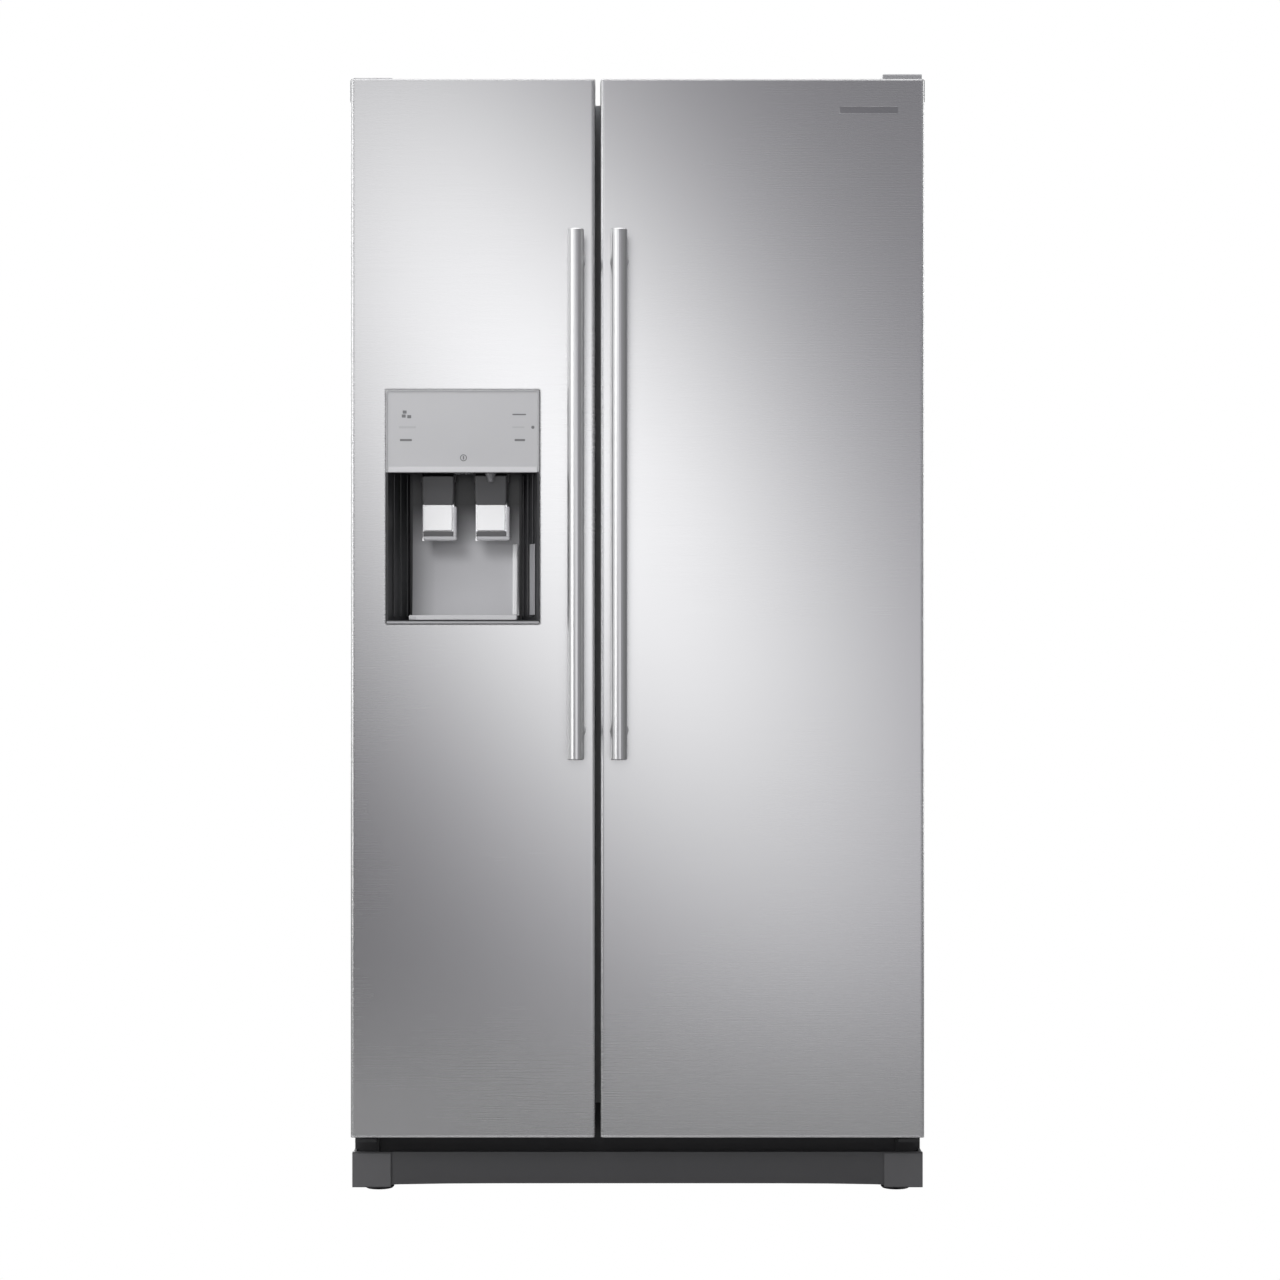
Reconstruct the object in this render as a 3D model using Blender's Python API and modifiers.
"""Side by side refrigerator with a dispenser in the freezer door.

Metres, +Z up. X runs to the viewer's right, Y from the front to the back. The origin is on the floor, under
the middle of the overall box. Each object is one separate piece. A moving piece is parented to an empty on its
joint's axis.
"""

import math

import bmesh
import bpy
from mathutils import Matrix, Vector

# ---------------------------------------------------------------- driving dimensions
WIDTH = 0.912
DEPTH = 0.734  # over the handles
HEIGHT = 1.789  # over the right hinge cover
FIT = 0.0003  # gap between two pieces that touch

# doors
DOOR_BOTTOM = 0.098
DOOR_THICKNESS = 0.064
FREEZER_DOOR_SHARE = 0.42544  # of the width
DOOR_GAP = 0.008  # between the two doors
DOOR_EDGE_RADIUS = 0.005  # upright front edges of a door
SKIN = 0.001
CAP_HEIGHT = 0.035
CAP_PROUD = 0.001  # the cap's ear stands out of the door's side by this
CAP_DROP = 0.0005  # cap and liner under the skin's top
EAR_THICKNESS = 0.004
NOTCH_DEPTH = 0.003  # of the skin, round the cap's ear
GASKET_THICKNESS = 0.012
GASKET_WIDTH = 0.018
GASKET_INSET_FREE = 0.008  # from the door's free edge
GASKET_BOTTOM = 0.116
GASKET_TOP_DROP = 0.008  # under the casing's top
GASKET_PAST_HINGE = 0.004  # outside the hinge's axis
HINGE_INSET = 0.022  # hinge axis from the door's outer side
HINGE_SETBACK = 0.036  # hinge axis behind the door's front
HINGE_PIN_RADIUS = 0.005
PIN_CLEARANCE = 0.0005
PIN_DEPTH = 0.018  # how far a pin reaches into its door

# handles
HANDLE_REACH = 0.062
HANDLE_RADIUS = 0.013
HANDLE_BOTTOM_SHARE = 0.3907  # of the height
HANDLE_LENGTH_SHARE = 0.4656
HANDLE_OFFSET = 0.030  # bar's axis from the door's free edge
HANDLE_POST_RADIUS = 0.009
HANDLE_POST_INSET = 0.045  # post's axis from the bar's end
HANDLE_CHAMFER = 0.0015

# cabinet
SHEET = 0.0015
BACK_SHEET = 0.003  # the back panel, over its pressed grooves
SIDE_SETBACK = 0.001  # chassis and kick inside the overall width
GROOVE_DEPTH = 0.0012
GROOVE_WIDTH = 0.014
GROOVES = 4
GROOVE_MARGIN = 0.060  # from the panel's edges
CASE_BOTTOM = 0.092
CASE_DROP = 0.041  # the casing's top under the overall height
CASE_EDGE_RADIUS = 0.006
FLANGE = 0.022
LINER = 0.002
CAVITY_BOTTOM = 0.150
CAVITY_ROOF = 0.048  # cavity's top under the casing's top
CAVITY_SETBACK = 0.077  # cavity's back in front of the cabinet's back
LINER_MARGIN = 0.008  # the liners' flanges reach this far under the cavities
FREEZER_WALL = 0.055
FRIDGE_WALL = 0.045
MULLION = 0.070
MULLION_STRIP = 0.040
MACHINE_TOP = 0.260
MACHINE_DEPTH = 0.195  # machine room, from the cabinet's back
MACHINE_FOAM = 0.050

# chassis, kick, feet and rollers
FRAME_BOTTOM = 0.050
FRAME_RAIL = 0.045
FRONT_BEAM = 0.055
FRONT_LIP = 0.010  # the front wall's foot in the beam
TRAY = 0.004
KICK_TOP = 0.070
KICK_BOTTOM_MIDDLE = 0.020
KICK_BOTTOM_END = 0.015
KICK_SETBACK = 0.030  # behind the doors' front
KICK_THICKNESS = 0.004
KICK_STEPS = 12
KICK_BOW = 6  # power of the lower edge's curve
LEG_COVER_WIDTH = 0.062
LEG_COVER_PROUD = 0.002
LEG_COVER_EDGE = 0.001
FOOT_INSET = 0.038  # foot's axis from the cabinet's side
FOOT_SETBACK = 0.029  # foot's axis behind the cabinet's front
FOOT_RADIUS = 0.0235
FOOT_PAD = 0.009
FOOT_CONE = 0.006  # height of the pad's conical top
FOOT_CHAMFER = 0.002
STEM_RADIUS = 0.005
STEM_TOP = 0.085
ROLLER_INSET = 0.071
ROLLER_FROM_BACK = 0.070
ROLLER_RADIUS = 0.022
ROLLER_WIDTH = 0.018
AXLE_RADIUS = 0.003
EAR = 0.003
EAR_GAP = 0.001
EAR_HALF = 0.012  # half an ear's depth
EAR_DROP = 0.008  # under the roller's axle

# hinges
HINGE_NOSE = 0.012  # the arms reach this far in front of the axis
LOWER_ARM = 0.005
LOWER_ARM_DROP = 0.006  # under the door
LOWER_BACK = 0.004
LOWER_COLLAR = 0.010
UPPER_RISER = 0.003  # behind the cabinet's front
UPPER_FOOT = 0.075
HINGE_PLATE = 0.003
HINGE_WIDTH = 0.034
HINGE_ARM_LIFT = 0.001  # the arm's underside above the door
COVER_WALL = 0.0015
COVER_RISE_LEFT = 0.0065
COVER_RISE_RIGHT = 0.0125
COVER_WIDTH = 0.062
COVER_BACK = 0.115  # from the cabinet's front
COVER_INSET = 0.003  # from the casing's side
COVER_SLOPE = 0.012
COVER_NOSE = 0.003
COVER_NOSE_DROP = 0.002
COVER_LIFT = 0.0006  # over the door

# door liners: upright and cross ribs that stand into the cabinet
DYKE_DEPTH = 0.045
DYKE_GAP_HINGE = 0.006  # to the cabinet's side wall
DYKE_GAP_FREE = 0.012
DYKE_WIDTH_HINGE = 0.028
DYKE_WIDTH_FREE = 0.018
DYKE_GAP_TOP = 0.010
DYKE_HEIGHT = 0.030
RIB_OVERLAP = 0.010

# door bins
BIN_WALL = 0.0025
BIN_GAP = 0.0005
BIN_REACH = 0.107
BIN_REACH_LOW = 0.072
# each bin: (bottom as a share of the cavity's height, height, reach)
FREEZER_BINS = ((0.0323, 0.110, BIN_REACH_LOW), (0.2903, 0.120, BIN_REACH))
FRIDGE_BINS = ((0.0323, 0.130, BIN_REACH_LOW), (0.3677, 0.120, BIN_REACH), (0.6968, 0.100, BIN_REACH))

# dispenser
DISPENSER_OFFSET = -0.016  # from the door's middle
DISPENSER_WIDTH = 0.244
DISPENSER_BOTTOM_SHARE = 0.51  # of the height
DISPENSER_HEIGHT = 0.371
PANEL_HEIGHT = 0.1285
PANEL_THICKNESS = 0.006
PANEL_PROUD = 0.0015  # panel and housing rim stand out of the door by this
HOUSING_WALL = 0.003
HOUSING_RIM = 0.004
HOUSING_RIM_DEPTH = 0.006
NICHE_DEPTH = 0.088
NICHE_BACK_WIDTH = 0.180
NICHE_SILL = 0.006
PANEL_OVERLAP = 0.003  # the panel's foot under the niche's ceiling
BULGE_REACH = 0.067  # liner bulge behind the dispenser, from the door's back
BULGE_SIDE = 0.006  # inside the liner's outer ribs
BULGE_BELOW = 0.0425  # under the dispenser
BULGE_ABOVE = 0.0565
CHUTE_WIDTH = 0.060
CHUTE_DEPTH = 0.060
CHUTE_FROM_BULGE = 0.008  # shaft's back wall in front of the bulge's back
CHUTE_MOUTH_FRONT = 0.012  # mouth's front behind the door's front
CHUTE_MOUTH_DEPTH = 0.038
CHUTE_SLOPE_TOP = 0.095  # top of the slope above the niche's ceiling
CHUTE_LIP_BACK = 0.008  # heights over the niche's ceiling where the slope starts
CHUTE_LIP_FRONT = 0.035
LEVER_PITCH = 0.085
LEVER_WIDTH = 0.050
LEVER_THICKNESS = 0.004
LEVER_LENGTH = 0.103
LEVER_SETBACK = 0.060  # pivot behind the door's front
LEVER_DROP = 0.006  # pivot under the niche's ceiling
LEVER_PIVOT_RADIUS = 0.004
LEVER_LIP = 0.010
CHEEK = 0.008  # half the size of a lever's cheek
TRAY_HEIGHT = 0.008
TRAY_SLOTS = 9
TRAY_FRONT = 0.006  # behind the door's front
TRAY_GAP = 0.004  # to the niche's walls
TRAY_MARGIN = 0.010  # of the slots
SMALL_BEVEL = 0.0015

# freezer fittings
ICE_GAP = 0.016  # bucket's floor above the door's bulge
ICE_HEIGHT_SHARE = 0.465  # of the room over the bulge
ICE_WALL = 0.003
ICE_FRONT = 0.079  # behind the cabinet's front
ICE_BACK = 0.440
ICE_GAP_HINGE = 0.018  # bucket to the freezer's walls
ICE_GAP_FREE = 0.016
SPOUT_REACH = 0.075
SPOUT_LEFT = 0.022  # from the chute's axis
SPOUT_WIDTH = 0.090
SPOUT_HOLE_DEPTH = 0.036
SPOUT_HEIGHT_SHARE = 0.56  # of the bucket's height
AUGER_RADIUS = 0.016
AUGER_WIRE = 0.003
AUGER_TURNS = 6
AUGER_POINTS = 9  # a turn
AUGER_LIFT = 0.003  # over the bucket's floor
AUGER_SHAFT = 0.012
AUGER_LEAD = 0.022  # straight wire before the first turn
AUGER_END = 0.030  # room in front of its end
MAKER_GAP_HINGE = 0.040  # ice maker to the freezer's walls
MAKER_GAP_FREE = 0.036
MAKER_FRONT = 0.200  # behind the cabinet's front
MAKER_BACK = 0.430
MAKER_LIFT = 0.030  # over the bucket
MAKER_TOP_DROP = 0.012
MOTOR_BOX_WIDTH = 0.075
MOTOR_BOX_REACH = 0.030
MAKER_POCKETS = 5
DUCT_SETBACK = 0.055  # evaporator cover in front of the liner's back
DUCT_COVER = 0.003
FAN_BEHIND_COVER = 0.008
COVER_MARGIN = 0.040  # of the air slots
AIR_SLOT = 0.012
CROSS_HALF = 0.004
EVAPORATOR_ABOVE_STEP = 0.090
EVAPORATOR_SHARE = 0.2258  # of the cavity's height
EVAPORATOR_FINS = 12
FIN_THICKNESS = 0.004
EVAPORATOR_MARGIN = 0.020
COVER_SLOTS = 4
COVER_SLOT_PITCH = 0.035
FAN_SHARE = 0.645  # fan's axis, up the cavity's height
FAN_RADIUS = 0.050
FAN_DEPTH = 0.018
FAN_HUB = 0.014
FAN_BLADES = 5
BLADE_THICKNESS = 0.0022
BLADE_PITCH = 32  # degrees

# shelves and drawers
SHELF_THICKNESS = 0.008
SHELF_FRONT = 0.114  # behind the cabinet's front
SHELF_LIP = 0.016
SHELF_LIP_DEPTH = 0.006
SHELF_BACK_GAP = 0.004
RAIL_WIDTH = 0.008
RAIL_HEIGHT = 0.004
FREEZER_SHELF_SHARE = 0.5032  # up the cavity's height
FRIDGE_SHELF_SHARES = (0.458, 0.690)
CRISPER_COVER_Z = 0.510
DUCT_SLOT_SHARES = (0.355, 0.542, 0.632, 0.774, 0.871)
DUCT_WIDTH = 0.140
DUCT_DEPTH = 0.030
DUCT_FOOT = 0.050  # over the crisper's cover
DUCT_SLOT_MARGIN = 0.025
DUCT_SLOT = 0.014
DUCT_SLOT_DEPTH = 0.008
DRAWER_FRONT = 0.076  # behind the cabinet's front
DRAWER_GAP_HINGE = 0.034
DRAWER_GAP_FREE = 0.014
DRAWER_WALL = 0.003
GRIP_HALF = 0.070
GRIP_LOW, GRIP_HIGH = 0.016, 0.006  # under the drawer's top
DRAWER_LEVELS = ((0.155, 0.160, 0.262), (0.330, 0.160, 0.380))  # (bottom, height, depth)

# machine room
COMPRESSOR_SHARE = 0.636  # of the half width
COMPRESSOR_RADIUS = 0.075
COMPRESSOR_HEIGHT = 0.165
COMPRESSOR_DOME = 0.55  # the dome's height as a share of the radius
COMPRESSOR_FOOT = (0.085, 0.060, 0.016)  # half width, half depth, height
CONDENSER_PASSES = 8
CONDENSER_TUBE = 0.004
CONDENSER_INSET = 0.076
CONDENSER_SHARE = 0.373  # of the width
CONDENSER_BEND = 0.009
CONDENSER_ROWS_FROM = 0.085
CONDENSER_EAR_INSET = 0.050
CONDENSER_EAR_HALF = 0.010
BLOWER_SHARE = 0.055  # of the width
BLOWER_Z = 0.155
BLOWER_RADIUS = 0.068
BLOWER_GAP = 0.006  # blade tips to the wall's hole
BLOWER_HALF = 0.012  # half the fan's thickness
BLOWER_WALL = 0.020  # the chassis wall, from the fan's middle
BLOWER_CROSS = 0.006
BLOWER_OVERLAP = 0.004
BLOWER_STUB = 0.009
SLOT_COLUMNS = 9
SLOT_ROWS = 2

# ---------------------------------------------------------------- sizes that follow
LEFT, RIGHT = -WIDTH / 2, WIDTH / 2
FRONT, BACK = -DEPTH / 2, DEPTH / 2
DOOR_TOP = HEIGHT - COVER_RISE_RIGHT
CASE_TOP = HEIGHT - CASE_DROP
CAVITY_TOP = CASE_TOP - CAVITY_ROOF
DOOR_FRONT = FRONT + HANDLE_REACH
DOOR_BACK = DOOR_FRONT + DOOR_THICKNESS
CABINET_FRONT = DOOR_BACK + GASKET_THICKNESS
FREEZER_DOOR_WIDTH = FREEZER_DOOR_SHARE * WIDTH
GAP_X = LEFT + CAP_PROUD + FREEZER_DOOR_WIDTH + DOOR_GAP / 2
HINGE_Y = DOOR_FRONT + HINGE_SETBACK
CAVITY_BACK = BACK - CAVITY_SETBACK
STEP_Y = BACK - MACHINE_DEPTH - MACHINE_FOAM  # the cavities are shallower under this step
STEP_Z = MACHINE_TOP + MACHINE_FOAM
FREEZER_LEFT, FREEZER_RIGHT = LEFT + FREEZER_WALL, GAP_X - MULLION / 2
FRIDGE_LEFT, FRIDGE_RIGHT = GAP_X + MULLION / 2, RIGHT - FRIDGE_WALL
DUCT_Y = CAVITY_BACK - DUCT_SETBACK
FREEZER_DRAWER_X = FREEZER_LEFT + DRAWER_GAP_HINGE, FREEZER_RIGHT - DRAWER_GAP_FREE
CRISPER_X = FRIDGE_LEFT + DRAWER_GAP_FREE, FRIDGE_RIGHT - DRAWER_GAP_HINGE
KICK_FRONT = DOOR_FRONT + KICK_SETBACK
CHASSIS_BACK = BACK - 0.006
HANDLE_BOTTOM = HANDLE_BOTTOM_SHARE * HEIGHT
HANDLE_LENGTH = HANDLE_LENGTH_SHARE * HEIGHT
FOOT_X = RIGHT - FOOT_INSET
ROLLER_X = RIGHT - ROLLER_INSET
DISPENSER_X = LEFT + CAP_PROUD + FREEZER_DOOR_WIDTH / 2 + DISPENSER_OFFSET
DISPENSER_BOTTOM = DISPENSER_BOTTOM_SHARE * HEIGHT
PANEL_BOTTOM = DISPENSER_BOTTOM + DISPENSER_HEIGHT - PANEL_HEIGHT
BULGE_BOTTOM = DISPENSER_BOTTOM - BULGE_BELOW
BULGE_TOP = DISPENSER_BOTTOM + DISPENSER_HEIGHT + BULGE_ABOVE
BULGE_BACK = DOOR_BACK + BULGE_REACH
CHUTE_BACK = BULGE_BACK - CHUTE_FROM_BULGE
LEVER_Y = DOOR_FRONT + LEVER_SETBACK
CHUTE_X = DISPENSER_X - LEVER_PITCH / 2
LEVER_Z = PANEL_BOTTOM - LEVER_DROP
ICE_FLOOR = BULGE_TOP + ICE_GAP
ICE_HEIGHT = ICE_HEIGHT_SHARE * (CAVITY_TOP - ICE_FLOOR)
SPOUT_HEIGHT = SPOUT_HEIGHT_SHARE * ICE_HEIGHT
EVAPORATOR_BOTTOM = STEP_Z + EVAPORATOR_ABOVE_STEP
EVAPORATOR_HEIGHT = EVAPORATOR_SHARE * (CAVITY_TOP - CAVITY_BOTTOM)
COMPRESSOR_X = COMPRESSOR_SHARE * RIGHT
CONDENSER_LEFT = LEFT + CONDENSER_INSET
CONDENSER_LENGTH = CONDENSER_SHARE * WIDTH
BLOWER_X = BLOWER_SHARE * WIDTH
BLOWER_Y = BACK - MACHINE_DEPTH / 2
PAST = 0.02  # how far a cutter runs past the face it opens


def up_cavity(share):
    """The height at this share of the way up the cavities."""
    return CAVITY_BOTTOM + share * (CAVITY_TOP - CAVITY_BOTTOM)


FAN_Z = up_cavity(FAN_SHARE)
FREEZER_SHELVES = (up_cavity(FREEZER_SHELF_SHARE), ICE_FLOOR - SHELF_THICKNESS - 0.003)
FRIDGE_SHELVES = tuple(up_cavity(share) for share in FRIDGE_SHELF_SHARES)

AXES = {  # local X, local Y and local Z of an outline that is drawn across this axis
    "X": ((0, 1, 0), (0, 0, 1), (1, 0, 0)),
    "Y": ((1, 0, 0), (0, 0, 1), (0, -1, 0)),
    "Z": ((1, 0, 0), (0, 1, 0), (0, 0, 1)),
}

for old in list(bpy.data.objects):
    bpy.data.objects.remove(old)
PARTS = bpy.data.collections.new("side_by_side_refrigerator")
CUTTERS = bpy.data.collections.new("cutters")
bpy.context.scene.collection.children.link(PARTS)
bpy.context.scene.collection.children.link(CUTTERS)


# ---------------------------------------------------------------- materials
def material(name, colour, roughness, metallic=0.0, alpha=1.0):
    made = bpy.data.materials.new(name)
    made.use_nodes = True
    shader = made.node_tree.nodes["Principled BSDF"]
    shader.inputs["Base Color"].default_value = (*colour, 1.0)
    shader.inputs["Roughness"].default_value = roughness
    shader.inputs["Metallic"].default_value = metallic
    shader.inputs["Alpha"].default_value = alpha
    return made


STEEL = material("brushed_steel", (0.62, 0.62, 0.63), 0.35, 1.0)
HANDLE_METAL = material("handle_aluminium", (0.75, 0.75, 0.76), 0.28, 1.0)
CASE_PAINT = material("case_paint", (0.42, 0.43, 0.44), 0.45)
GALVANISED = material("galvanised_steel", (0.55, 0.56, 0.57), 0.5, 1.0)
BLACK_STEEL = material("black_steel", (0.02, 0.02, 0.022), 0.5)
DARK_PLASTIC = material("dark_plastic", (0.06, 0.06, 0.065), 0.5)
CAP_PLASTIC = material("cap_plastic", (0.35, 0.35, 0.36), 0.5)
PANEL_PLASTIC = material("panel_plastic", (0.5, 0.5, 0.51), 0.35)
WHITE_PLASTIC = material("white_plastic", (0.86, 0.87, 0.88), 0.35)
CLEAR_PLASTIC = material("clear_plastic", (0.82, 0.88, 0.92), 0.1, alpha=0.4)
GLASS = material("shelf_glass", (0.8, 0.9, 0.88), 0.05, alpha=0.35)
GASKET_RUBBER = material("gasket_rubber", (0.3, 0.3, 0.31), 0.7)
FOAM = material("insulation_foam", (0.83, 0.76, 0.5), 0.9)
COPPER = material("copper_tube", (0.72, 0.4, 0.25), 0.3, 1.0)
ALUMINIUM = material("fin_aluminium", (0.8, 0.8, 0.82), 0.35, 1.0)
CHROME = material("lever_chrome", (0.85, 0.85, 0.86), 0.15, 1.0)


# ---------------------------------------------------------------- modelling tools
def axis_empty(name, place, parent=None):
    """An empty on a joint's axis, for a moving body to hang on."""
    made = bpy.data.objects.new(name, None)
    made.location = place
    PARTS.objects.link(made)
    hang(made, parent)
    return made


def hang(obj, parent):
    """Parents an object to an empty and leaves it where it stands."""
    if parent:
        obj.parent = parent
        obj.matrix_parent_inverse = Matrix.Translation(parent.location).inverted()


def add_object(name, mesh, look, parent):
    made = bpy.data.objects.new(name, mesh)
    PARTS.objects.link(made)
    if look:
        mesh.materials.append(look)
    hang(made, parent)
    return made


def from_bmesh(name, shape, look, parent):
    mesh = bpy.data.meshes.new(name)
    shape.to_mesh(mesh)
    shape.free()
    return add_object(name, mesh, look, parent)


def box(name, low, high, look=None, parent=None, bevel=0.0):
    """A box between two corners, with its edges rounded by bevel."""
    low, high = Vector(low), Vector(high)
    shape = bmesh.new()
    bmesh.ops.create_cube(shape, size=1.0)
    bmesh.ops.scale(shape, vec=high - low, verts=shape.verts)
    made = from_bmesh(name, shape, look, parent)
    made.location = (low + high) / 2
    if bevel:
        round_edges(made, bevel)
    return made


def round_edges(obj, width, segments=2):
    modifier = obj.modifiers.new("rounded", "BEVEL")
    modifier.width = width
    modifier.segments = segments
    modifier.limit_method = "ANGLE"


def rod(name, start, end, radius, look=None, parent=None, sides=20, end_radius=None):
    """A round bar between two points, or a cone where end_radius is given."""
    start, end = Vector(start), Vector(end)
    shape = bmesh.new()
    bmesh.ops.create_cone(
        shape,
        cap_ends=True,
        segments=sides,
        radius1=radius,
        radius2=radius if end_radius is None else end_radius,
        depth=(end - start).length,
    )
    turn = (end - start).to_track_quat("Z", "Y").to_matrix()
    bmesh.ops.rotate(shape, matrix=turn, verts=shape.verts)
    made = from_bmesh(name, shape, look, parent)
    made.location = (start + end) / 2
    smooth(made)
    return made


def smooth(obj):
    obj.data.shade_smooth()
    obj.data.set_sharp_from_angle(angle=math.radians(35))


def meshed(curve_object, look, parent):
    """The curve as a closed mesh, so that a Boolean can use it."""
    graph = bpy.context.evaluated_depsgraph_get()
    mesh = bpy.data.meshes.new_from_object(curve_object.evaluated_get(graph))
    name, place = curve_object.name, curve_object.matrix_world.copy()
    shape = bmesh.new()
    shape.from_mesh(mesh)
    bmesh.ops.remove_doubles(shape, verts=shape.verts, dist=1e-5)
    bmesh.ops.recalc_face_normals(shape, faces=shape.faces)
    bpy.data.objects.remove(curve_object)
    made = from_bmesh(name, shape, look, None)
    made.matrix_world = place
    hang(made, parent)
    return made


def slab(name, outline, axis, low, high, look=None, parent=None):
    """A flat outline, drawn across an axis, with a thickness from low to high along it."""
    curve = bpy.data.curves.new(name, "CURVE")
    curve.dimensions = "2D"
    curve.fill_mode = "BOTH"
    curve.extrude = (high - low) / 2
    spline = curve.splines.new("POLY")
    spline.points.add(len(outline) - 1)
    for point, (u, v) in zip(spline.points, outline):
        point.co = (u, v, 0, 1)
    spline.use_cyclic_u = True
    drawn = bpy.data.objects.new(name, curve)
    PARTS.objects.link(drawn)
    across, up, out = (Vector(direction) for direction in AXES[axis])
    middle = Vector(out) * (low + high) / 2 * (-1 if axis == "Y" else 1)
    turn = Matrix((across, up, out)).transposed().to_4x4()
    drawn.matrix_world = Matrix.Translation(middle) @ turn
    bpy.context.view_layer.update()
    return meshed(drawn, look, parent)


def tube(name, points, radius, look=None, parent=None, resolution=2):
    """A round wire or pipe along a polyline."""
    curve = bpy.data.curves.new(name, "CURVE")
    curve.dimensions = "3D"
    curve.bevel_depth = radius
    curve.bevel_resolution = resolution
    curve.use_fill_caps = True
    spline = curve.splines.new("POLY")
    spline.points.add(len(points) - 1)
    for point, place in zip(spline.points, points):
        point.co = (*place, 1)
    return add_object(name, curve, look, parent)


def turned(name, profile, place, look=None, parent=None, steps=24):
    """A profile of (radius, height) points, outer side first from the top down, turned round the vertical."""
    shape = bmesh.new()
    corners = [shape.verts.new((radius, 0, height)) for radius, height in profile]
    for first, second in zip(corners, corners[1:]):
        shape.edges.new((first, second))
    made = from_bmesh(name, shape, look, parent)
    made.location = place
    modifier = made.modifiers.new("turned", "SCREW")
    modifier.steps = modifier.render_steps = steps
    modifier.use_merge_vertices = True
    modifier.merge_threshold = 0.00001
    return made


def combine(target, operation, others):
    for other in others:
        PARTS.objects.unlink(other)
        CUTTERS.objects.link(other)
        other.hide_render = True
        other.display_type = "WIRE"
        modifier = target.modifiers.new(other.name, "BOOLEAN")
        modifier.operation = operation
        modifier.object = other
    return target


def cut(target, *cutters):
    return combine(target, "DIFFERENCE", cutters)


def join(target, *others):
    return combine(target, "UNION", others)


def cut_box(target, low, high):
    """Cuts a box out of the target."""
    name = f"{target.name}_cut_{len(target.modifiers)}"
    return cut(target, box(name, low, high, parent=target.parent))


def cut_hole(target, start, end, radius, sides=24):
    """Cuts a round hole through the target."""
    name = f"{target.name}_hole_{len(target.modifiers)}"
    return cut(target, rod(name, start, end, radius, parent=target.parent, sides=sides))


def join_box(target, low, high):
    """Adds a box to the target."""
    name = f"{target.name}_add_{len(target.modifiers)}"
    return join(target, box(name, low, high, parent=target.parent))


def join_rod(target, start, end, radius, sides=20):
    """Adds a round bar to the target."""
    name = f"{target.name}_bar_{len(target.modifiers)}"
    return join(target, rod(name, start, end, radius, parent=target.parent, sides=sides))


def arc(centre, radius, first, last, steps=4):
    """Points on an arc, with its two end angles in degrees."""
    angles = [math.radians(first + (last - first) * i / steps) for i in range(steps + 1)]
    return [(centre[0] + radius * math.cos(a), centre[1] + radius * math.sin(a)) for a in angles]


def round_top(left, right, bottom, top, radius):
    """An upright outline whose two upper corners are rounded."""
    return [
        (left, bottom),
        (right, bottom),
        *arc((right - radius, top - radius), radius, 0, 90),
        *arc((left + radius, top - radius), radius, 90, 180),
    ]


def door_outline(left, right, front, back, radius):
    """A door's plan, with its two front corners rounded."""
    return [
        (right, back),
        (left, back),
        *arc((left + radius, front + radius), radius, 180, 270),
        *arc((right - radius, front + radius), radius, 270, 360),
    ]


# ---------------------------------------------------------------- cabinet
def make_casing():
    """The painted sheet that wraps both sides and the top, with its front edge folded in."""
    case = slab(
        "casing_shell",
        round_top(LEFT, RIGHT, CASE_BOTTOM, CASE_TOP, CASE_EDGE_RADIUS),
        "Y", CABINET_FRONT, BACK, CASE_PAINT,
    )
    inner = slab(
        "casing_inside",
        round_top(
            LEFT + SHEET, RIGHT - SHEET, CASE_BOTTOM - PAST, CASE_TOP - SHEET, CASE_EDGE_RADIUS - SHEET
        ),
        "Y", CABINET_FRONT + SHEET, BACK + PAST,
    )
    cut(case, inner)
    cut_box(
        case,
        (LEFT + FLANGE, CABINET_FRONT - PAST, CASE_BOTTOM - PAST),
        (RIGHT - FLANGE, CABINET_FRONT + PAST, CASE_TOP - FLANGE),
    )


def cavity_outline(front, back, bottom, top, step_y, step_z):
    """Side view of a cavity with a step over the machine room."""
    return [(front, bottom), (step_y, bottom), (step_y, step_z), (back, step_z), (back, top), (front, top)]


def liner_outline(grow, front):
    """Side view of a cavity, grown by a wall or a gap on every side but the front."""
    return cavity_outline(
        front, CAVITY_BACK + grow, CAVITY_BOTTOM - grow, CAVITY_TOP + grow, STEP_Y + grow, STEP_Z - grow
    )


def make_liner(name, left, right, flange_left, flange_right):
    """A white plastic liner: an open-fronted box with a step, and a flange round its mouth."""
    liner = slab(name, liner_outline(LINER, CABINET_FRONT), "X", left - LINER, right + LINER, WHITE_PLASTIC)
    join_box(
        liner,
        (flange_left, CABINET_FRONT, CAVITY_BOTTOM - LINER_MARGIN),
        (flange_right, CABINET_FRONT + LINER, CASE_TOP - FLANGE - FIT),
    )
    cut(liner, slab(name + "_inside", liner_outline(0, CABINET_FRONT - PAST), "X", left, right))
    return liner


def add_shelf_rails(liner, left, right, shelves):
    """A rail on each side of a liner, under each shelf."""
    for z in shelves:
        for low, high in ((left - LINER / 2, left + RAIL_WIDTH), (right - RAIL_WIDTH, right + LINER / 2)):
            join_box(
                liner,
                (low, CABINET_FRONT + SHELF_FRONT + 0.010, z - FIT - RAIL_HEIGHT),
                (high, DUCT_Y - 0.006, z - FIT),
            )


def add_drawer_rails(liner, left, right, low_x, high_x):
    """Two ledges from a liner's walls that carry the edges of each drawer."""
    for bottom, _, depth in DRAWER_LEVELS:
        for low, high in ((left - LINER / 2, low_x + RAIL_WIDTH), (high_x - RAIL_WIDTH, right + LINER / 2)):
            join_box(
                liner,
                (low, CABINET_FRONT + DRAWER_FRONT + 0.014, bottom - FIT - RAIL_HEIGHT),
                (high, CABINET_FRONT + DRAWER_FRONT + depth - 0.004, bottom - FIT),
            )


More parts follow.
